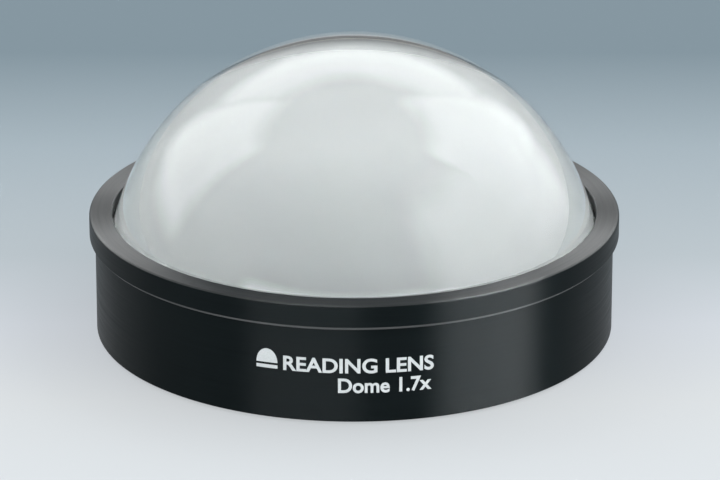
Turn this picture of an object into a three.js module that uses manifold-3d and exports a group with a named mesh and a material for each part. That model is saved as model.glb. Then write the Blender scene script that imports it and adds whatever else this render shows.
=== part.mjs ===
// A ring-mounted bright-field dome magnifier. It stands on a table, +Z up, with the origin in the
// middle of its underside and all sizes in millimetres.
//
// A thick plano-convex dome lens sits with the rim of its flat face on a low base ring. A turned mount
// ring screws down over the base ring, and its lip holds the dome through a soft cushion ring. A white
// liner inside the mount centres the glass and brightens it. The band of glass that the rings hide is
// fine-ground, and the rest of the glass is polished. A felt ring keeps the metal off the page.

import * as THREE from "three";
import { mergeVertices } from "three/addons/utils/BufferGeometryUtils.js";
import Module from "manifold-3d";

const wasm = await Module();
wasm.setup();

// ---- Fineness ----

const TURN = 2 * Math.PI;
const SEGMENTS = 72; // round the axis, on every piece
const DOME_STEPS = 14; // from the dome's edge to its top

// ---- Driving dimensions ----

const LENS_RADIUS = 32.5; // of the dome's sphere and of its widest edge
const SPHERE_CENTRE_Z = 6.26; // height of the dome's centre above the table
const LENS_FLAT_Z = 3.1; // height of the lens's flat face above the table
const MOUNT_BOTTOM_Z = 0.3; // the felt stands this far below the mount's rim
const MOUNT_TOP_Z = 16.22;
const BODY_RADIUS = 33.8; // the mount's straight wall
const FLANGE_RADIUS = 34.55; // the mount's wider top band
const FLANGE_BOTTOM_Z = 12.9;
const FELT_THICKNESS = 1.0;
const FILM_THICKNESS = 0.1; // the adhesive film between the felt and the base ring

// ---- The screw thread between the base ring and the mount, right-handed ----

const PITCH = 0.6;
const OUTER_CREST = 33.0; // the base ring's thread
const OUTER_ROOT = 32.7;
const INNER_CREST = 32.8; // the mount's thread
const INNER_ROOT = 33.1;
const THREAD_SLOPE = Math.tan(Math.PI / 6); // how fast a ridge of a 60 degree thread narrows
const OUTER_HALF_WIDTH = 0.22; // half of a base ring ridge's width, at its root
const AXIAL_CLEARANCE = 0.05; // on each flank of a ridge
const RIDGE_SINK = 0.06; // a ridge's foot is this deep inside the wall that it stands on
const OUTER_TURNS = 1.85;
const INNER_TURNS = 3;
const OUTER_START_Z = 1.45; // the middle of the base ring's ridge at its lower end
const RUN_OUT_STEPS = 6; // a ridge rises to its height over this many steps
const BLUNT_END = 0.2; // the share of a step that its rise has made already where it starts
const THREAD_RELIEF = 0.1; // the mount's threaded hollow ends this far above the base ring
const THREAD_START = Math.PI / SEGMENTS; // half a facet on, so ridge and wall edges never meet

// ---- Smaller sizes ----

const LIP_RADIUS = 31.55; // the mount's opening at the top, just clear of the dome
const LIP_THICKNESS = 1.52;
const BORE_RADIUS = 32.85; // the mount's bore round the lens
const GLASS_BEVEL = 0.2; // glass is never left with a sharp edge
const CUSHION_HEIGHT = 1.6;
const CUSHION_GAP = 0.06; // between the cushion ring and the dome
const SLIP_THICKNESS = 0.2; // the washer between the base ring and the lens
const LINER_THICKNESS = 0.2;
const BASE_INNER_RADIUS = 31.0;
const BASE_CHAMFER = 0.1;
const SEAT_BEVEL_WIDTH = 0.6; // the base ring's inner wall leans back towards the lens
const SEAT_BEVEL_HEIGHT = 1.4;
const FELT_INNER_RADIUS = 31.0;
const FELT_OUTER_RADIUS = OUTER_ROOT - BASE_CHAMFER;
const EDGE_SETBACK = 0.05; // how far a ring stays behind the edge of the face that it lies on
const NOTCH_COUNT = 4; // spanner notches in the base ring's underside
const NOTCH_LENGTH = 4.0; // more than the ring's width, so that a notch cuts through it
const NOTCH_WIDTH = 2.0;
const NOTCH_DEPTH = 0.7;

// ---- Finishes ----

const finish = (color, roughness, metalness) =>
  new THREE.MeshStandardMaterial({ color, roughness, metalness });

const blackAnodised = finish(0x1b1e1f, 0.38, 0.6);
const plainAluminium = finish(0xb9bbbd, 0.45, 0.8);
const blackRubber = finish(0x101011, 0.85, 0);
const blackFelt = finish(0x121314, 1, 0);
const naturalPlastic = finish(0xe4e4df, 0.5, 0);
const whitePlastic = finish(0xf4f4f2, 0.6, 0);
const clearFilm = finish(0xcdc7b4, 0.4, 0);
const opticalGlass = finish(0xe6f0ee, 0.05, 0);
opticalGlass.transparent = true;
opticalGlass.opacity = 0.35;

// ---- Helpers ----

// A closed outline of [radius, height] points, anticlockwise, turned round the Z axis.
function turned(outline, closed = true) {
  const points = outline.map(([r, z]) => new THREE.Vector2(r, z));
  if (closed) points.push(points[0].clone());
  return new THREE.LatheGeometry(points, SEGMENTS).rotateX(Math.PI / 2);
}

function solidOf(geometry) {
  const bare = geometry.clone();
  bare.deleteAttribute("normal");
  bare.deleteAttribute("uv");
  const merged = mergeVertices(bare, 1e-4);
  return new wasm.Manifold(
    new wasm.Mesh({
      numProp: 3,
      vertProperties: merged.attributes.position.array,
      triVerts: new Uint32Array(merged.index.array),
    }),
  );
}

function geometryOf(solid) {
  const { vertProperties, triVerts } = solid.getMesh();
  const geometry = new THREE.BufferGeometry();
  geometry.setAttribute("position", new THREE.BufferAttribute(vertProperties, 3));
  geometry.setIndex(new THREE.BufferAttribute(triVerts, 1));
  geometry.computeVertexNormals();
  return geometry;
}

function ringOf(innerRadius, outerRadius, bottomZ, topZ) {
  return turned([
    [innerRadius, bottomZ],
    [outerRadius, bottomZ],
    [outerRadius, topZ],
    [innerRadius, topZ],
  ]);
}

// The dome's radius at height z.
const domeRadius = (z) => Math.sqrt(LENS_RADIUS ** 2 - (z - SPHERE_CENTRE_Z) ** 2);

// One helical ridge, a right-handed screw. startZ is the height of its middle at its lower end.
// foot is the radius that it is sunk to, and its crest rises out of the wall at each end.
function threadRidge({ foot, crest, halfFoot, halfCrest, startZ, turns }) {
  const steps = Math.round(turns * SEGMENTS);
  const positions = [];
  for (let i = 0; i <= steps; i += 1) {
    const fromEnd = Math.min(i, steps - i) + BLUNT_END;
    const tip = THREE.MathUtils.lerp(foot, crest, Math.min(1, fromEnd / RUN_OUT_STEPS));
    const a = THREAD_START + (i / SEGMENTS) * TURN;
    const z = startZ + (i / SEGMENTS) * PITCH;
    const section = [
      [foot, z - halfFoot],
      [tip, z - halfCrest],
      [tip, z + halfCrest],
      [foot, z + halfFoot],
    ];
    section.forEach(([r, h]) => positions.push(r * Math.cos(a), r * Math.sin(a), h));
  }
  const index = [];
  const last = steps * 4;
  for (let i = 0; i < steps; i += 1) {
    for (let k = 0; k < 4; k += 1) {
      const here = i * 4 + k;
      const beside = i * 4 + ((k + 1) % 4);
      index.push(here, here + 4, beside, beside, here + 4, beside + 4);
    }
  }
  index.push(0, 1, 2, 0, 2, 3);
  index.push(last, last + 2, last + 1, last, last + 3, last + 2);
  if (crest < foot) {
    for (let i = 0; i < index.length; i += 3) {
      [index[i + 1], index[i + 2]] = [index[i + 2], index[i + 1]];
    }
  }
  const geometry = new THREE.BufferGeometry();
  geometry.setAttribute("position", new THREE.Float32BufferAttribute(positions, 3));
  geometry.setIndex(index);
  return geometry;
}

// ---- The pieces, from the table up ----

const filmZ = FELT_THICKNESS;
const baseZ = filmZ + FILM_THICKNESS;
const baseTopZ = LENS_FLAT_Z - SLIP_THICKNESS;
const cushionTopZ = MOUNT_TOP_Z - LIP_THICKNESS;
const cushionBottomZ = cushionTopZ - CUSHION_HEIGHT;
const threadTopZ = baseTopZ + THREAD_RELIEF;
const boreBottomZ = threadTopZ + INNER_ROOT - BORE_RADIUS;

function feltRing() {
  return ringOf(FELT_INNER_RADIUS, FELT_OUTER_RADIUS, 0, filmZ);
}

function adhesiveFilm() {
  return ringOf(FELT_INNER_RADIUS + EDGE_SETBACK, FELT_OUTER_RADIUS - EDGE_SETBACK, filmZ, baseZ);
}

function baseRing() {
  const wall = turned([
    [BASE_INNER_RADIUS + BASE_CHAMFER, baseZ],
    [OUTER_ROOT - BASE_CHAMFER, baseZ],
    [OUTER_ROOT, baseZ + BASE_CHAMFER],
    [OUTER_ROOT, baseTopZ - BASE_CHAMFER],
    [OUTER_ROOT - BASE_CHAMFER, baseTopZ],
    [BASE_INNER_RADIUS + SEAT_BEVEL_WIDTH, baseTopZ],
    [BASE_INNER_RADIUS, baseTopZ - SEAT_BEVEL_HEIGHT],
    [BASE_INNER_RADIUS, baseZ + BASE_CHAMFER],
  ]);
  const crestDepth = OUTER_CREST - OUTER_ROOT;
  const ridge = threadRidge({
    foot: OUTER_ROOT - RIDGE_SINK,
    crest: OUTER_CREST,
    halfFoot: OUTER_HALF_WIDTH + RIDGE_SINK * THREAD_SLOPE,
    halfCrest: OUTER_HALF_WIDTH - crestDepth * THREAD_SLOPE,
    startZ: OUTER_START_Z,
    turns: OUTER_TURNS,
  });
  let solid = solidOf(wall).add(solidOf(ridge));
  for (let i = 0; i < NOTCH_COUNT; i += 1) {
    const notch = new THREE.BoxGeometry(NOTCH_LENGTH, NOTCH_WIDTH, 2 * NOTCH_DEPTH);
    notch.translate((BASE_INNER_RADIUS + OUTER_CREST) / 2, 0, baseZ);
    notch.rotateZ(((i + 0.5) / NOTCH_COUNT) * TURN);
    solid = solid.subtract(solidOf(notch));
  }
  return geometryOf(solid);
}

function slipWasher() {
  const innerRadius = BASE_INNER_RADIUS + SEAT_BEVEL_WIDTH + EDGE_SETBACK;
  return ringOf(innerRadius, LENS_RADIUS - GLASS_BEVEL, baseTopZ, LENS_FLAT_Z);
}

function domeLens() {
  const dome = [];
  for (let i = 0; i < DOME_STEPS; i += 1) {
    const a = (i / DOME_STEPS) * (Math.PI / 2);
    dome.push([LENS_RADIUS * Math.cos(a), SPHERE_CENTRE_Z + LENS_RADIUS * Math.sin(a)]);
  }
  const outline = [
    [0, LENS_FLAT_Z],
    [LENS_RADIUS - GLASS_BEVEL, LENS_FLAT_Z],
    [LENS_RADIUS, LENS_FLAT_Z + GLASS_BEVEL],
    ...dome,
    [0, SPHERE_CENTRE_Z + LENS_RADIUS],
  ];
  return turned(outline, false);
}

function linerSleeve() {
  const outerRadius = BORE_RADIUS - EDGE_SETBACK;
  return ringOf(outerRadius - LINER_THICKNESS, outerRadius, boreBottomZ, cushionBottomZ - EDGE_SETBACK);
}

function cushionRing() {
  return turned([
    [domeRadius(cushionBottomZ) + CUSHION_GAP, cushionBottomZ],
    [BORE_RADIUS - EDGE_SETBACK, cushionBottomZ],
    [BORE_RADIUS - EDGE_SETBACK, cushionTopZ],
    [domeRadius(cushionTopZ) + CUSHION_GAP, cushionTopZ],
  ]);
}

function mountRing() {
  const topChamfer = 0.35;
  const flangeChamfer = 0.45;
  const footChamfer = 0.25;
  const lipChamfer = 0.2;
  const mouthChamfer = 0.12;
  const wall = turned([
    [INNER_ROOT + mouthChamfer, MOUNT_BOTTOM_Z],
    [BODY_RADIUS - footChamfer, MOUNT_BOTTOM_Z],
    [BODY_RADIUS, MOUNT_BOTTOM_Z + footChamfer],
    [BODY_RADIUS, FLANGE_BOTTOM_Z],
    [FLANGE_RADIUS - flangeChamfer, FLANGE_BOTTOM_Z],
    [FLANGE_RADIUS, FLANGE_BOTTOM_Z + flangeChamfer],
    [FLANGE_RADIUS, MOUNT_TOP_Z - topChamfer],
    [FLANGE_RADIUS - topChamfer, MOUNT_TOP_Z],
    [LIP_RADIUS + lipChamfer, MOUNT_TOP_Z],
    [LIP_RADIUS, MOUNT_TOP_Z - lipChamfer],
    [LIP_RADIUS, cushionTopZ],
    [BORE_RADIUS, cushionTopZ],
    [BORE_RADIUS, boreBottomZ],
    [INNER_ROOT, threadTopZ],
    [INNER_ROOT, MOUNT_BOTTOM_Z + mouthChamfer],
  ]);
  // A mount ridge fills the space between two base ring ridges, less the clearance.
  const outerHalfAtInnerRoot = OUTER_HALF_WIDTH - (INNER_ROOT - OUTER_ROOT) * THREAD_SLOPE;
  const halfRoot = PITCH / 2 - outerHalfAtInnerRoot - AXIAL_CLEARANCE;
  const crestDepth = INNER_ROOT - INNER_CREST;
  const ridge = threadRidge({
    foot: INNER_ROOT + RIDGE_SINK,
    crest: INNER_CREST,
    halfFoot: halfRoot + RIDGE_SINK * THREAD_SLOPE,
    halfCrest: halfRoot - crestDepth * THREAD_SLOPE,
    startZ: OUTER_START_Z - PITCH / 2,
    turns: INNER_TURNS,
  });
  return geometryOf(solidOf(wall).add(solidOf(ridge)));
}

// ---- The assembly ----

const pieces = [
  ["felt_ring", feltRing(), blackFelt],
  ["felt_adhesive_film", adhesiveFilm(), clearFilm],
  ["base_ring", baseRing(), plainAluminium],
  ["slip_washer", slipWasher(), naturalPlastic],
  ["dome_lens", domeLens(), opticalGlass],
  ["liner_sleeve", linerSleeve(), whitePlastic],
  ["cushion_ring", cushionRing(), blackRubber],
  ["mount_ring", mountRing(), blackAnodised],
];

const magnifier = new THREE.Group();
for (const [name, geometry, material] of pieces) {
  const mesh = new THREE.Mesh(geometry, material);
  mesh.name = name;
  magnifier.add(mesh);
}

export default magnifier;
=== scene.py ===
from math import cos, pi, radians, sin, sqrt, tan

import bmesh
import bpy
from mathutils import Matrix, Vector


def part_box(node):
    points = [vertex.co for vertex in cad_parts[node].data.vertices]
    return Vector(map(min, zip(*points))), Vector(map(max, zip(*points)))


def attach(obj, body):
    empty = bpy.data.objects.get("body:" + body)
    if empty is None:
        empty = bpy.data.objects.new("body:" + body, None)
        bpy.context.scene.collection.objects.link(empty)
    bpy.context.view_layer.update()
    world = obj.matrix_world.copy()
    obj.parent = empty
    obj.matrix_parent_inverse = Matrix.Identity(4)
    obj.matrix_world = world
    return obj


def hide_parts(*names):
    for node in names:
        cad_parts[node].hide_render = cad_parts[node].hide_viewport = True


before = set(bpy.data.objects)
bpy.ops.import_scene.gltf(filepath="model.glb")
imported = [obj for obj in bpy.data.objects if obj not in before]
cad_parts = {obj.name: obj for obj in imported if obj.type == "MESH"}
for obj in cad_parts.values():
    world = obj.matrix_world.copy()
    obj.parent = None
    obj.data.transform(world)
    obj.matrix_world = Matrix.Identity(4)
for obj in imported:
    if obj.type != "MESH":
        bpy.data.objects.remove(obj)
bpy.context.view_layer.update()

# A dome magnifier in its ring, standing on a flat surface. Every length is in metres. The frame gives
# the places and the outer sizes, and smaller sizes that it doesn't hold are multiples of MM.

MM = 0.001
TURN = 2 * pi
SEGMENTS = 192  # round the axis, on every turned piece
ARC_STEPS = 4  # along each rounded corner
SHARP_ANGLE = radians(40)  # faces that meet at more than this keep a sharp edge
HAIR = 1e-7  # two places closer than this are the same place


# ---- Sizes from the frame ----

MOUNT_LOW, MOUNT_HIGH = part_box("mount_ring")
BASE_LOW, BASE_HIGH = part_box("base_ring")
LENS_LOW, LENS_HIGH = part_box("dome_lens")
LINER_LOW, LINER_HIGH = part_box("liner_sleeve")
CUSHION_LOW, CUSHION_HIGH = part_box("cushion_ring")

LENS_RADIUS = LENS_HIGH.x
SPHERE_Z = LENS_HIGH.z - LENS_RADIUS  # the height of the dome's centre
FLANGE_RADIUS = MOUNT_HIGH.x
FLANGE_OVERHANG = 0.75 * MM
FLANGE_HEIGHT = 3.32 * MM
LINER_GAP = 0.05 * MM
LIP_WIDTH = 1.3 * MM
SEAT_WIDTH = 1.5 * MM
BODY_RADIUS = FLANGE_RADIUS - FLANGE_OVERHANG
FLANGE_BOTTOM_Z = MOUNT_HIGH.z - FLANGE_HEIGHT
BORE_RADIUS = LINER_HIGH.x + LINER_GAP
LIP_RADIUS = BORE_RADIUS - LIP_WIDTH
BASE_INNER_RADIUS = LENS_RADIUS - SEAT_WIDTH
SEAT_BEVEL_WIDTH = 0.6 * MM
SEAT_BEVEL_HEIGHT = 1.4 * MM

# The screw thread, as the frame's rings have it.
PITCH = 0.6 * MM
THREAD_SLOPE = tan(radians(30))
OUTER_CREST = 33.0 * MM
OUTER_ROOT = 32.7 * MM
OUTER_START_Z = 1.45 * MM
OUTER_TURNS = 1.85
OUTER_HALF_ROOT = 0.22 * MM
INNER_CREST = 32.8 * MM
INNER_ROOT = 33.1 * MM
INNER_TURNS = 3
INNER_HALF_ROOT = 0.26 * MM
THREAD_HEADROOM = 0.1 * MM
THREAD_TOP_Z = BASE_HIGH.z + THREAD_HEADROOM
RUN_OUT = 0.08  # of a turn, at each end of a ridge
THREAD_ROW = PITCH / 12  # between the rows of points that carry a ridge


# ---- Mesh helpers ----

def rounded(corners):
    """Outline points for (radius, height, rounding) corners, with every rounding made an arc."""
    points = []
    for i, (r, z, rounding) in enumerate(corners):
        corner = Vector((r, z))
        if not rounding:
            points.append((r, z))
            continue
        before = (Vector(corners[i - 1][:2]) - corner).normalized()
        after = (Vector(corners[(i + 1) % len(corners)][:2]) - corner).normalized()
        half = before.angle(after) / 2
        centre = corner + (before + after).normalized() * (rounding / sin(half))
        start = corner + before * (rounding / tan(half)) - centre
        end = corner + after * (rounding / tan(half)) - centre
        for step in range(ARC_STEPS + 1):
            share = step / ARC_STEPS
            spoke = start.lerp(end, share).normalized() * rounding
            points.append(tuple(centre + spoke))
    return points


def turned(name, outline, closed=True, offset=None):
    """The outline turned round the Z axis. offset(radius, height, angle) moves a point outwards."""
    bm = bmesh.new()
    rings = []
    for r, z in outline:
        if r < HAIR:
            rings.append([bm.verts.new((0, 0, z))])
            continue
        ring = []
        for k in range(SEGMENTS):
            angle = TURN * k / SEGMENTS
            out = r + (offset(r, z, angle) if offset else 0)
            ring.append(bm.verts.new((out * cos(angle), out * sin(angle), z)))
        rings.append(ring)
    pairs = list(zip(rings, rings[1:]))
    if closed:
        pairs.append((rings[-1], rings[0]))
    for low, high in pairs:
        for k in range(SEGMENTS):
            n = (k + 1) % SEGMENTS
            below = [low[k % len(low)], low[n % len(low)]]
            above = [high[n % len(high)], high[k % len(high)]]
            bm.faces.new(list(dict.fromkeys(below + above)))
    bmesh.ops.recalc_face_normals(bm, faces=bm.faces)
    return as_object(name, bm)


def as_object(name, bm):
    mesh = bpy.data.meshes.new(name)
    bm.to_mesh(mesh)
    bm.free()
    mesh.shade_smooth()
    mesh.set_sharp_from_angle(angle=SHARP_ANGLE)
    obj = bpy.data.objects.new(name, mesh)
    bpy.context.scene.collection.objects.link(obj)
    return obj


def even_shading(obj):
    """Keeps a large face flat beside its small rounded corners."""
    weighted = obj.modifiers.new("weighted_normals", "WEIGHTED_NORMAL")
    weighted.keep_sharp = True


def carve(obj, cutter):
    """Cuts cutter out of obj for good, and deletes it."""
    cut = obj.modifiers.new("cut", "BOOLEAN")
    cut.object = cutter
    cut.operation = "DIFFERENCE"
    cut.solver = "EXACT"
    whole = obj.data
    graph = bpy.context.evaluated_depsgraph_get()
    obj.data = bpy.data.meshes.new_from_object(obj.evaluated_get(graph))
    obj.modifiers.remove(cut)
    bpy.data.meshes.remove(whole)
    bpy.data.objects.remove(cutter)
    obj.data.set_sharp_from_angle(angle=SHARP_ANGLE)


def rows(r, low, high, step):
    """Outline points up a straight wall, close enough together to carry a thread."""
    count = round(abs(high - low) / step)
    return [(r, low + (high - low) * i / count) for i in range(count + 1)]


def thread(start_z, turns, half_root, depth):
    """The height of a right-handed ridge above its root, as a function of height and angle."""
    def height(z, angle):
        turn_count = (z - start_z) / PITCH - angle / TURN
        nearest = round(turn_count)
        away = abs(turn_count - nearest) * PITCH
        along = nearest + angle / TURN
        fade = max(0, min(1, along / RUN_OUT, (turns - along) / RUN_OUT))
        return fade * max(0, min(depth, (half_root - away) / THREAD_SLOPE))
    return height


def stands_for(obj, node, body, slot, *materials):
    """obj replaces a CAD node, rides on its body and takes its finish."""
    for material in materials:
        obj.data.materials.append(material)
    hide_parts(node)
    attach(obj, body)


# ---- Node helpers ----

class Nodes:
    """Short calls for building one node tree."""

    def __init__(self, tree):
        self.tree = tree
        tree.nodes.clear()

    def add(self, kind, **settings):
        node = self.tree.nodes.new(kind)
        for key, value in settings.items():
            setattr(node, key, value)
        return node

    def put(self, socket, value):
        if hasattr(value, "is_output"):
            self.tree.links.new(value, socket)
        else:
            socket.default_value = value

    def math(self, operation, *values, clamp=False):
        node = self.add("ShaderNodeMath", operation=operation, use_clamp=clamp)
        for socket, value in zip(node.inputs, values):
            self.put(socket, value)
        return node.outputs[0]

    def vector(self, operation, *values):
        node = self.add("ShaderNodeVectorMath", operation=operation)
        for socket, value in zip(node.inputs, values):
            self.put(socket, value)
        return node

    def split(self, vector):
        node = self.add("ShaderNodeSeparateXYZ")
        self.put(node.inputs[0], vector)
        return node.outputs

    def join(self, x, y, z):
        node = self.add("ShaderNodeCombineXYZ")
        for socket, value in zip(node.inputs, (x, y, z)):
            self.put(socket, value)
        return node.outputs[0]

    def place(self):
        return self.add("ShaderNodeTexCoord").outputs["Object"]

    def axis_distance(self, x, y):
        """How far a place is from the Z axis."""
        return self.vector("LENGTH", self.join(x, y, 0)).outputs["Value"]

    def noise(self, vector, scale, detail=3.0, roughness=0.5):
        node = self.add("ShaderNodeTexNoise")
        self.put(node.inputs["Vector"], vector)
        self.put(node.inputs["Scale"], scale)
        self.put(node.inputs["Detail"], detail)
        self.put(node.inputs["Roughness"], roughness)
        return node.outputs["Fac"]

    def ramp(self, value, low, high, to_low, to_high, smooth=False):
        """value from low to high becomes to_low to to_high."""
        node = self.add("ShaderNodeMapRange")
        node.interpolation_type = "SMOOTHSTEP" if smooth else "LINEAR"
        for socket, number in zip(node.inputs, (value, low, high, to_low, to_high)):
            self.put(socket, number)
        return node.outputs[0]

    def inside(self, value, low, high, edge):
        """1 where value is between low and high, falling to 0 over a soft edge outside them."""
        rise = self.ramp(value, low - edge, low, 0, 1)
        fall = self.ramp(value, high, high + edge, 1, 0)
        return self.math("MULTIPLY", rise, fall)

    def colours(self, value, *stops):
        """value picks a colour between (position, (red, green, blue)) stops."""
        node = self.add("ShaderNodeValToRGB")
        elements = node.color_ramp.elements
        while len(elements) < len(stops):
            elements.new(1)
        for element, (position, colour) in zip(elements, stops):
            element.position = position
            element.color = (*colour, 1)
        self.put(node.inputs[0], value)
        return node.outputs[0]

    def bump(self, height, distance, strength):
        node = self.add("ShaderNodeBump")
        node.inputs["Strength"].default_value = strength
        node.inputs["Distance"].default_value = distance
        self.put(node.inputs["Height"], height)
        return node.outputs[0]


def new_material(name, **values):
    """A material with one Principled shader. values set its sockets, with _ for each space."""
    mat = bpy.data.materials.new(name)
    mat.use_nodes = True
    nodes = Nodes(mat.node_tree)
    shader = nodes.add("ShaderNodeBsdfPrincipled")
    output = nodes.add("ShaderNodeOutputMaterial")
    nodes.put(output.inputs["Surface"], shader.outputs[0])
    for key, value in values.items():
        nodes.put(shader.inputs[key.replace("_", " ")], value)
    return mat, nodes, shader.inputs


ALONG_MARKS = 45  # how fast a turning mark changes along its own circle


def turning_marks(nodes, fineness):
    """Noise drawn out into fine circles about the Z axis, on a wall and on a flat top alike."""
    x, y, z = nodes.split(nodes.place())
    across = nodes.math("MULTIPLY", nodes.math("ADD", nodes.axis_distance(x, y), z), fineness)
    along_x = nodes.math("MULTIPLY", x, ALONG_MARKS)
    along_y = nodes.math("MULTIPLY", y, ALONG_MARKS)
    return nodes.join(along_x, along_y, across)


def brush_round_axis(nodes, shader):
    """Runs the brushed gloss in circles about the Z axis."""
    tangent = nodes.add("ShaderNodeTangent", direction_type="RADIAL", axis="Z")
    nodes.put(shader["Tangent"], tangent.outputs[0])


# ---- Materials ----

GLASS_IOR = 1.52
PAINTED_SHADE_FOOT_Z = 6 * MM  # the ground band's painted shade darkens it upwards from a little above here


def anodised(name, dark, light, roughness):
    """Black anodised aluminium, turned, with a shinier top and a painted highlight along the corner
    under the flange.
    """
    mat, nodes, shader = new_material(name, Anisotropic=1.0, Anisotropic_Rotation=0.25)
    marks = nodes.noise(turning_marks(nodes, 2600), 1.0, 4.0, 0.7)
    fine = nodes.noise(turning_marks(nodes, 9000), 1.0, 2.0, 0.5)
    cloud = nodes.noise(nodes.place(), 60.0, 4.0, 0.6)
    tone = nodes.math("ADD", nodes.math("MULTIPLY", marks, 0.6), nodes.math("MULTIPLY", cloud, 0.4))
    x, y, z = nodes.split(nodes.place())
    # A lighter band of base colour along the flange's lower outer corner stands in for the glint there:
    # a painted highlight.
    corner = nodes.inside(z, FLANGE_BOTTOM_Z + 0.1 * MM, FLANGE_BOTTOM_Z + 0.4 * MM, 0.1 * MM)
    radius = nodes.axis_distance(x, y)
    outside = nodes.inside(radius, BODY_RADIUS + 0.2 * MM, FLANGE_RADIUS, 0.1 * MM)
    painted_glint_tone = nodes.ramp(marks, 0.3, 0.7, 0.05, 0.09)
    painted_glint = nodes.math("MULTIPLY", nodes.math("MULTIPLY", corner, outside), painted_glint_tone)
    whole = nodes.colours(tone, (0.3, dark), (0.7, light))
    nodes.put(shader["Base Color"], nodes.vector("ADD", whole, nodes.join(painted_glint, painted_glint, painted_glint)).outputs[0])
    dull = nodes.ramp(marks, 0.3, 0.7, roughness - 0.05, roughness + 0.07)
    nodes.put(shader["Roughness"], dull)
    height = nodes.math("ADD", marks, nodes.math("MULTIPLY", fine, 0.5))
    nodes.put(shader["Normal"], nodes.bump(height, 0.012 * MM, 0.6))
    polished = nodes.inside(z, MOUNT_HIGH.z - 0.12 * MM, MOUNT_HIGH.z, 0.05 * MM)
    nodes.put(shader["Specular IOR Level"], nodes.ramp(polished, 0, 1, 0.06, 0.6))
    brush_round_axis(nodes, shader)
    return mat


def plain_aluminium():
    """Bare satin turned aluminium, painted white up the bevel under the lens and darker metal towards
    its foot: painted light and shade.
    """
    mat, nodes, shader = new_material("plain_aluminium", Anisotropic=0.6, Anisotropic_Rotation=0.25)
    marks = nodes.noise(turning_marks(nodes, 3200), 1.0, 4.0, 0.6)
    z = nodes.split(nodes.place())["Z"]
    # The colour rises from dark metal at the bevel's foot to white at its top: painted light at the top,
    # painted shade below.
    painted_light_rise = nodes.ramp(z, BASE_HIGH.z - SEAT_BEVEL_HEIGHT, BASE_HIGH.z - 0.4 * MM, 0, 0.95)
    share = nodes.math("ADD", painted_light_rise, nodes.math("MULTIPLY", marks, 0.1))
    metal, white = (0.25, 0.26, 0.26), (0.90, 0.91, 0.90)
    nodes.put(shader["Base Color"], nodes.colours(share, (0.03, metal), (0.97, white)))
    nodes.put(shader["Metallic"], nodes.ramp(share, 0, 0.8, 0.9, 0))
    nodes.put(shader["Roughness"], nodes.ramp(marks, 0.3, 0.7, 0.4, 0.52))
    nodes.put(shader["Normal"], nodes.bump(marks, 0.01 * MM, 0.5))
    brush_round_axis(nodes, shader)
    return mat


def polished_glass():
    """Colourless polished glass, with a trace of a wipe's smears in its tint."""
    mat, nodes, shader = new_material(
        "polished_glass",
        Transmission_Weight=1.0,
        IOR=GLASS_IOR,
        Roughness=0.0,
    )
    smears = nodes.noise(nodes.place(), 90.0, 5.0, 0.6)
    tint = nodes.colours(smears, (0.3, (0.975, 0.99, 0.985)), (0.7, (0.985, 0.995, 0.99)))
    nodes.put(shader["Base Color"], tint)
    return mat


def ground_glass():
    """Fine-ground glass, whitest at the band's foot and greying upwards: painted shade."""
    mat, nodes, shader = new_material("ground_glass", Transmission_Weight=0.15, IOR=GLASS_IOR)
    grain = nodes.noise(nodes.place(), 4000.0, 3.0, 0.6)
    z = nodes.split(nodes.place())["Z"]
    # White near the band's foot, greying upwards to the cushion: painted shade.
    height = nodes.ramp(z, PAINTED_SHADE_FOOT_Z, CUSHION_HIGH.z, 0, 0.96)
    share = nodes.math("ADD", height, nodes.math("MULTIPLY", grain, 0.04))
    tint = nodes.colours(
        share,
        (0.11, (0.96, 0.98, 0.97)),
        (0.3, (0.78, 0.80, 0.795)),
        (0.48, (0.67, 0.69, 0.685)),
        (0.68, (0.575, 0.595, 0.59)),
        (1.0, (0.40, 0.42, 0.415)),
    )
    nodes.put(shader["Base Color"], tint)
    nodes.put(shader["Roughness"], nodes.ramp(grain, 0.3, 0.7, 0.48, 0.54))
    return mat


def black_rubber():
    mat, nodes, shader = new_material("black_rubber", Specular_IOR_Level=0.35)
    grain = nodes.noise(nodes.place(), 5200.0, 4.0, 0.6)
    cloud = nodes.noise(nodes.place(), 180.0, 3.0, 0.5)
    tint = nodes.colours(cloud, (0.3, (0.008, 0.008, 0.009)), (0.7, (0.016, 0.016, 0.017)))
    nodes.put(shader["Base Color"], tint)
    nodes.put(shader["Roughness"], nodes.ramp(grain, 0.3, 0.7, 0.6, 0.8))
    nodes.put(shader["Normal"], nodes.bump(grain, 0.02 * MM, 0.5))
    return mat


def wool_felt():
    mat, nodes, shader = new_material("wool_felt", Roughness=0.95, Sheen_Weight=0.5, Sheen_Roughness=0.5)
    warp = nodes.noise(nodes.place(), 900.0, 2.0, 0.5)
    aside = nodes.join(nodes.math("MULTIPLY", warp, 2 * MM), 0, 0)
    shifted = nodes.vector("ADD", nodes.place(), aside)
    fibres = nodes.noise(shifted.outputs[0], 6500.0, 6.0, 0.75)
    tint = nodes.colours(fibres, (0.35, (0.006, 0.006, 0.007)), (0.7, (0.03, 0.03, 0.032)))
    nodes.put(shader["Base Color"], tint)
    nodes.put(shader["Normal"], nodes.bump(fibres, 0.15 * MM, 0.9))
    return mat


def natural_plastic():
    depth = (MM, MM, MM)
    mat, nodes, shader = new_material("natural_plastic", Subsurface_Weight=0.2, Subsurface_Radius=depth)
    marks = nodes.noise(turning_marks(nodes, 1500), 1.0, 3.0, 0.5)
    tint = nodes.colours(marks, (0.3, (0.70, 0.70, 0.66)), (0.7, (0.80, 0.80, 0.77)))
    nodes.put(shader["Base Color"], tint)
    nodes.put(shader["Roughness"], nodes.ramp(marks, 0.3, 0.7, 0.42, 0.56))
    nodes.put(shader["Normal"], nodes.bump(marks, 0.01 * MM, 0.5))
    return mat


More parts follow.
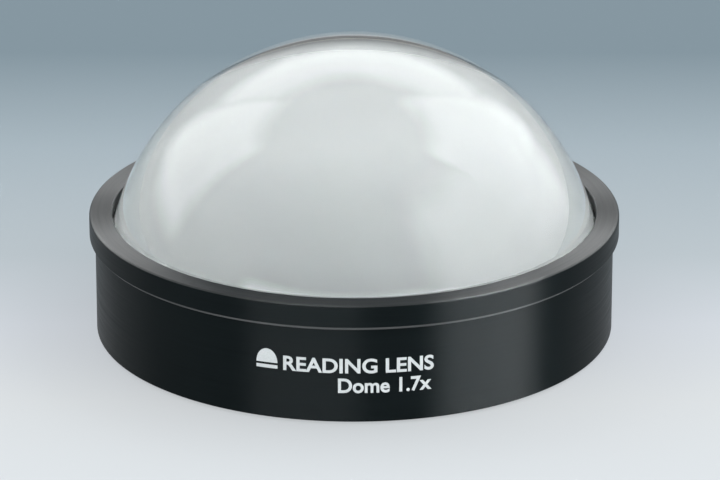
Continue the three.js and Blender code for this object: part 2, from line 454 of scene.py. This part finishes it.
def white_plastic():
    mat, nodes, shader = new_material("white_plastic", Specular_IOR_Level=0.4)
    grain = nodes.noise(nodes.place(), 2400.0, 3.0, 0.5)
    tint = nodes.colours(grain, (0.3, (0.86, 0.87, 0.86)), (0.7, (0.91, 0.92, 0.91)))
    nodes.put(shader["Base Color"], tint)
    nodes.put(shader["Roughness"], nodes.ramp(grain, 0.3, 0.7, 0.55, 0.7))
    nodes.put(shader["Normal"], nodes.bump(grain, 0.006 * MM, 0.5))
    return mat


def adhesive_film():
    mat, nodes, shader = new_material("adhesive_film", Specular_IOR_Level=0.4)
    bubbles = nodes.noise(nodes.place(), 1800.0, 4.0, 0.6)
    tint = nodes.colours(bubbles, (0.35, (0.50, 0.46, 0.36)), (0.65, (0.62, 0.58, 0.48)))
    nodes.put(shader["Base Color"], tint)
    nodes.put(shader["Roughness"], nodes.ramp(bubbles, 0.3, 0.7, 0.25, 0.5))
    nodes.put(shader["Normal"], nodes.bump(bubbles, 0.01 * MM, 0.5))
    return mat


def white_ink():
    mat, nodes, shader = new_material("white_ink", Specular_IOR_Level=0.3)
    grain = nodes.noise(nodes.place(), 7000.0, 4.0, 0.65)
    tint = nodes.colours(grain, (0.25, (0.34, 0.36, 0.365)), (0.55, (0.43, 0.45, 0.455)))
    nodes.put(shader["Base Color"], tint)
    nodes.put(shader["Roughness"], nodes.ramp(grain, 0.3, 0.7, 0.5, 0.65))
    nodes.put(shader["Normal"], nodes.bump(grain, 0.004 * MM, 0.6))
    return mat


# ---- The pieces ----

def mount_ring(material):
    bottom, top = MOUNT_LOW.z, MOUNT_HIGH.z
    shoulder_z = CUSHION_HIGH.z
    depth = INNER_ROOT - INNER_CREST
    outside = rounded([
        (INNER_ROOT + 0.1 * MM, bottom, 0),
        (BODY_RADIUS, bottom, 0.25 * MM),
        (BODY_RADIUS, FLANGE_BOTTOM_Z, 0.05 * MM),
        (FLANGE_RADIUS - 0.45 * MM, FLANGE_BOTTOM_Z, 0.05 * MM),
        (FLANGE_RADIUS, FLANGE_BOTTOM_Z + 0.45 * MM, 0.2 * MM),
        (FLANGE_RADIUS, top, 0.4 * MM),
        (LIP_RADIUS, top, 0.2 * MM),
        (LIP_RADIUS, shoulder_z, 0.1 * MM),
        (BORE_RADIUS, shoulder_z, 0),
        (BORE_RADIUS, THREAD_TOP_Z + (INNER_ROOT - BORE_RADIUS), 0),
    ])
    inside = rows(INNER_ROOT, THREAD_TOP_Z, bottom + 0.12 * MM, THREAD_ROW)
    ridge = thread(OUTER_START_Z - PITCH / 2, INNER_TURNS, INNER_HALF_ROOT, depth)

    def offset(r, z, angle):
        return -ridge(z, angle) if abs(r - INNER_ROOT) < HAIR else 0

    obj = turned("mount_ring_turned", outside + inside, offset=offset)
    even_shading(obj)
    stands_for(obj, "mount_ring", "mount", "black_anodised_aluminium", material)


def base_ring(material):
    bottom, top = BASE_LOW.z, BASE_HIGH.z
    edge = 0.1 * MM
    inside = rounded([
        (OUTER_ROOT - edge, top, 0),
        (BASE_INNER_RADIUS + SEAT_BEVEL_WIDTH, top, 0.3 * MM),
        (BASE_INNER_RADIUS, top - SEAT_BEVEL_HEIGHT, 1.2 * MM),
        (BASE_INNER_RADIUS, bottom, 0.1 * MM),
        (OUTER_ROOT - edge, bottom, 0),
    ])
    outside = rows(OUTER_ROOT, bottom + edge, top - edge, THREAD_ROW)
    ridge = thread(OUTER_START_Z, OUTER_TURNS, OUTER_HALF_ROOT, OUTER_CREST - OUTER_ROOT)

    def offset(r, z, angle):
        return ridge(z, angle) if abs(r - OUTER_ROOT) < HAIR else 0

    obj = turned("base_ring_threaded", inside + outside, offset=offset)
    carve(obj, spanner_notches())
    even_shading(obj)
    stands_for(obj, "base_ring", "base", "plain_aluminium", material)


def spanner_notches():
    """The slots across the base ring's underside, as one mesh of boxes half sunk into it."""
    count = 4
    bm = bmesh.new()
    for i in range(count):
        turn = Matrix.Rotation(TURN * (i + 0.5) / count, 4, "Z")
        place = Matrix.Translation((LENS_RADIUS, 0, BASE_LOW.z))
        size = Matrix.Diagonal((4 * MM, 2 * MM, 1.4 * MM, 1))
        bmesh.ops.create_cube(bm, size=1, matrix=turn @ place @ size)
    return as_object("spanner_notches", bm)


def dome_glass(polished, ground):
    """The solid lens, polished all over but for the side band that the ring holds."""
    bevel = 0.2 * MM
    foot = rounded([
        (0, LENS_LOW.z, 0),
        (LENS_RADIUS - 2 * bevel, LENS_LOW.z, 0),
        (LENS_RADIUS, LENS_LOW.z, bevel),
        (LENS_RADIUS, SPHERE_Z, 0),
    ])
    steps = 64
    dome = []
    for i in range(1, steps + 1):
        a = pi / 2 * i / steps
        dome.append((LENS_RADIUS * cos(a) if i < steps else 0, SPHERE_Z + LENS_RADIUS * sin(a)))
    obj = turned("dome_glass", foot + dome, closed=False)
    even_shading(obj)
    stands_for(obj, "dome_lens", "base", "optical_glass", polished, ground)
    band_inner = LENS_RADIUS - 2 * MM
    for face in obj.data.polygons:
        centre = face.center
        out = sqrt(centre.x**2 + centre.y**2)
        held = centre.z < CUSHION_HIGH.z and out > band_inner
        level = abs(face.normal.z) >= 0.9
        face.material_index = 1 if held and not level else 0


def cushion_ring(material):
    bottom, top = CUSHION_LOW.z, CUSHION_HIGH.z
    gap = 0.06 * MM

    def glass_radius(z):
        return sqrt(LENS_RADIUS**2 - (z - SPHERE_Z) ** 2) + gap

    outer = CUSHION_HIGH.x
    outline = rounded([
        (glass_radius(bottom), bottom, 0.15 * MM),
        (outer, bottom, 0.15 * MM),
        (outer, top, 0.1 * MM),
        (glass_radius(top), top, 0.1 * MM),
    ])
    obj = turned("rubber_cushion", outline)
    even_shading(obj)
    stands_for(obj, "cushion_ring", "cushion", "black_rubber", material)


def flat_ring(name, node, body, inner, rounding, material, slot):
    low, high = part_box(node)
    outline = rounded([
        (inner, low.z, rounding),
        (high.x, low.z, rounding),
        (high.x, high.z, rounding),
        (inner, high.z, rounding),
    ])
    obj = turned(name, outline)
    even_shading(obj)
    stands_for(obj, node, body, slot, material)


# ---- The print ----

# Along the wall from the middle of its front, and up from the surface that the part stands on
INK_THICKNESS = 0.012 * MM  # stands out from the wall, and as much again is sunk in it
PRINT_LEFT = -12.5 * MM
PRINT_LENGTH = 22.7 * MM
PRINT_CUTS = 48  # so that the flat plates can bend round the wall
LETTER_HEIGHT = 1.87 * MM
TOP_LINE_Z = 7.0 * MM
LOW_LINE_Z = 4.35 * MM


def extruded(outline):
    """A closed outline of (x, y) points, anticlockwise, as a flat plate of ink."""
    bm = bmesh.new()
    face = bm.faces.new([bm.verts.new((x, y, -INK_THICKNESS)) for x, y in outline])
    lifted = bmesh.ops.extrude_face_region(bm, geom=[face])["geom"]
    points = [item for item in lifted if isinstance(item, bmesh.types.BMVert)]
    bmesh.ops.translate(bm, verts=points, vec=(0, 0, 2 * INK_THICKNESS))
    return bm


def lettering(words, left, right, baseline, height):
    """Bold letters between left and right, with capitals of that height, as flat plates of ink."""
    capital_share = 0.7  # of the font's size
    boldness = 0.034  # of the height
    curve = bpy.data.curves.new("lettering", "FONT")
    curve.body = words
    curve.size = height / capital_share
    curve.offset = height * boldness
    curve.extrude = INK_THICKNESS
    curve.resolution_u = 6
    holder = bpy.data.objects.new("lettering", curve)
    bpy.context.scene.collection.objects.link(holder)
    bpy.context.view_layer.update()
    bm = bmesh.new()
    bm.from_mesh(holder.to_mesh())
    bpy.data.objects.remove(holder)
    low = min(v.co.x for v in bm.verts)
    high = max(v.co.x for v in bm.verts)
    stretch = (right - left) / (high - low)
    for v in bm.verts:
        v.co.x = left + (v.co.x - low) * stretch
        v.co.y += baseline
    return bm


def lens_pictogram(left, right, bottom, top):
    """A half dome over a bar, as plates of ink."""
    middle, half = (left + right) / 2, (right - left) / 2
    bar = 0.45 * MM
    foot = bottom + bar + 0.3 * MM
    steps = 32
    dome = []
    for i in range(steps + 1):
        angle = pi * i / steps
        dome.append((middle + half * cos(angle), foot + (top - foot) * sin(angle)))
    low_bar = [(left, bottom), (right, bottom), (right, bottom + bar), (left, bottom + bar)]
    return extruded(dome), extruded(low_bar)


def white_print(material):
    """A lens pictogram and two lines of plain words, wrapped round the front of the wall."""
    plates = [
        lettering("READING LENS", -8.95 * MM, 10.13 * MM, TOP_LINE_Z, LETTER_HEIGHT),
        lettering("Dome 1.7x", -2.0 * MM, 9.84 * MM, LOW_LINE_Z, LETTER_HEIGHT),
        *lens_pictogram(-12.48 * MM, -9.7 * MM, TOP_LINE_Z, 9.6 * MM),
    ]
    bm = bmesh.new()
    for plate in plates:
        mesh = bpy.data.meshes.new("plate")
        plate.to_mesh(mesh)
        bm.from_mesh(mesh)
        plate.free()
        bpy.data.meshes.remove(mesh)
    bmesh.ops.remove_doubles(bm, verts=bm.verts, dist=HAIR)
    for i in range(1, PRINT_CUTS):
        x = PRINT_LEFT + PRINT_LENGTH * i / PRINT_CUTS
        geometry = bm.verts[:] + bm.edges[:] + bm.faces[:]
        bmesh.ops.bisect_plane(bm, geom=geometry, plane_co=(x, 0, 0), plane_no=(1, 0, 0))
    for v in bm.verts:
        angle = v.co.x / BODY_RADIUS
        r = BODY_RADIUS + v.co.z
        v.co = (r * sin(angle), -r * cos(angle), v.co.y)
    bmesh.ops.recalc_face_normals(bm, faces=bm.faces)
    obj = as_object("white_print", bm)
    obj.data.materials.append(material)
    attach(obj, "mount")


# ---- The studio ----

def camera():
    """The photograph's view: a long lens, well above the ring and looking down at it."""
    distance = 651.9 * MM
    elevation = radians(22.01)
    pitch = radians(21.07)
    aside = 0.753 * MM
    data = bpy.data.cameras.new("camera")
    data.sensor_width = 36
    data.lens = 247.6
    obj = bpy.data.objects.new("camera", data)
    bpy.context.scene.collection.objects.link(obj)
    height = MOUNT_LOW.z + distance * sin(elevation)
    obj.location = (aside, -distance * cos(elevation), height)
    obj.rotation_euler = (pi / 2 - pitch, 0, 0)
    bpy.context.scene.camera = obj


def floor():
    """Graduated, faintly glowing backdrop paper: pale in front, grey-blue towards the back."""
    half_width = 3  # metres
    bm = bmesh.new()
    bmesh.ops.create_grid(bm, x_segments=1, y_segments=1, size=half_width)
    obj = as_object("floor", bm)
    obj.location.z = -0.01 * MM  # just clear of the felt
    mat, nodes, shader = new_material("backdrop_paper", Roughness=0.9, Specular_IOR_Level=0.1)
    y = nodes.split(nodes.place())["Y"]
    share = nodes.ramp(y, -60 * MM, 110 * MM, 0, 1)
    tint = nodes.colours(
        share,
        (0.0, (0.76, 0.80, 0.83)),
        (0.2, (0.75, 0.78, 0.80)),
        (0.35, (0.675, 0.715, 0.765)),
        (0.5, (0.51, 0.57, 0.61)),
        (0.75, (0.39, 0.465, 0.515)),
        (1.0, (0.22, 0.29, 0.335)),
    )
    grey = (0.24, 0.24, 0.24)
    nodes.put(shader["Base Color"], nodes.vector("MULTIPLY", tint, grey).outputs[0])
    nodes.put(shader["Emission Color"], tint)
    nodes.put(shader["Emission Strength"], 0.6)
    obj.data.materials.append(mat)


# Lights, as (azimuth, elevation, half width, half height, soft edge, strength), in degrees. Azimuth 0 is
# the printed front, and positive is to its right.
SOFT_BOXES = {
    "left_back": (-122, 32, 22, 21, 12, 2.3),
    "back": (180, 38, 40, 13, 14, 1.75),
    "right_back": (118, 36, 30, 24, 14, 2.6),
    "right_fill": (90, 26, 50, 24, 24, 2.4),
    "front_low": (0, 4, 52, 7, 12, 7.0),
}
# Rough gloss mirrors these in place of the soft boxes: satin metal does, and the ground glass too.
STRIPS = {
    "front_left": (-21, 4, 23, 4, 12, 50.0),
    "right": (59, 4, 22, 4, 18, 190.0),
    "left_edge": (-122, 6, 22, 8, 16, 2.6),
    "right_edge": (128, 6, 18, 8, 16, 1.6),
    "left_rim": (-158, 31, 10, 10, 10, 5.5),
    "right_rim": (158, 31, 10, 10, 10, 5.5),
    "right_top": (152, 42, 18, 14, 12, 2.6),
}


def soft_edge(nodes, away, half, edge):
    """1 within half of a patch's middle, fading to 0 across its soft edge. Both are in degrees."""
    return nodes.ramp(away, radians(half - edge / 2), radians(half + edge / 2), 1, 0, True)


def light_patches(nodes, azimuth, elevation, boxes):
    """How bright the world is at a direction, from the brightest box there."""
    total = 0.0
    for side, up, half_width, half_height, edge, strength in boxes.values():
        turn = nodes.math("WRAP", nodes.math("SUBTRACT", azimuth, radians(side)), pi, -pi)
        off_side = nodes.math("ABSOLUTE", turn)
        off_up = nodes.math("ABSOLUTE", nodes.math("SUBTRACT", elevation, radians(up)))
        wide = soft_edge(nodes, off_side, half_width, edge)
        tall = soft_edge(nodes, off_up, half_height, edge)
        patch = nodes.math("MULTIPLY", nodes.math("MULTIPLY", wide, tall), strength)
        total = nodes.math("MAXIMUM", total, patch)
    return total


def studio():
    """The world is an even room, darker low down behind the table, with soft boxes round it."""
    world = bpy.data.worlds.new("studio")
    bpy.context.scene.world = world
    world.use_nodes = True
    nodes = Nodes(world.node_tree)
    x, y, z = nodes.split(nodes.add("ShaderNodeTexCoord").outputs["Generated"])
    azimuth = nodes.math("ARCTAN2", x, nodes.math("MULTIPLY", y, -1))
    elevation = nodes.math("ARCSINE", z)
    off_front = nodes.math("ABSOLUTE", azimuth)
    low_down = nodes.ramp(off_front, radians(60), radians(105), 1.25, 0.5, True)
    room = nodes.ramp(elevation, 0, radians(45), low_down, 0.85, True)
    path = nodes.add("ShaderNodeLightPath").outputs
    satin = nodes.math("SUBTRACT", path["Is Glossy Ray"], path["Is Singular Ray"], clamp=True)
    soft_boxes = light_patches(nodes, azimuth, elevation, SOFT_BOXES)
    strips = light_patches(nodes, azimuth, elevation, STRIPS)
    lit = nodes.math("ADD", room, nodes.ramp(satin, 0, 1, soft_boxes, strips))
    background = nodes.add("ShaderNodeBackground")
    background.inputs["Color"].default_value = (0.97, 0.99, 1.0, 1)
    nodes.put(background.inputs["Strength"], lit)
    output = nodes.add("ShaderNodeOutputWorld")
    nodes.put(output.inputs["Surface"], background.outputs[0])


def flat_rings():
    """The four rings of plain rectangular section."""
    setback = BASE_INNER_RADIUS + 0.05 * MM
    washer = setback + SEAT_BEVEL_WIDTH
    liner_inner = LINER_HIGH.x - 0.2 * MM
    plastic, film = natural_plastic(), adhesive_film()
    felt, white = wool_felt(), white_plastic()
    flat_ring("nylon_slip_washer", "slip_washer", "base", washer, 0.05 * MM, plastic, "natural_plastic")
    flat_ring("adhesive_ring", "felt_adhesive_film", "base", setback, 0.02 * MM, film, "adhesive_film")
    flat_ring("felt_foot", "felt_ring", "base", BASE_INNER_RADIUS, 0.25 * MM, felt, "felt")
    flat_ring("white_liner", "liner_sleeve", "mount", liner_inner, 0.04 * MM, white, "white_plastic")


def main():
    camera()
    studio()
    floor()
    black = anodised("black_anodised", (0.0012, 0.0028, 0.0032), (0.0035, 0.0058, 0.0064), 0.40)
    mount_ring(black)
    base_ring(plain_aluminium())
    dome_glass(polished_glass(), ground_glass())
    cushion_ring(black_rubber())
    flat_rings()
    white_print(white_ink())
    bpy.context.scene.view_settings.view_transform = "Standard"


main()
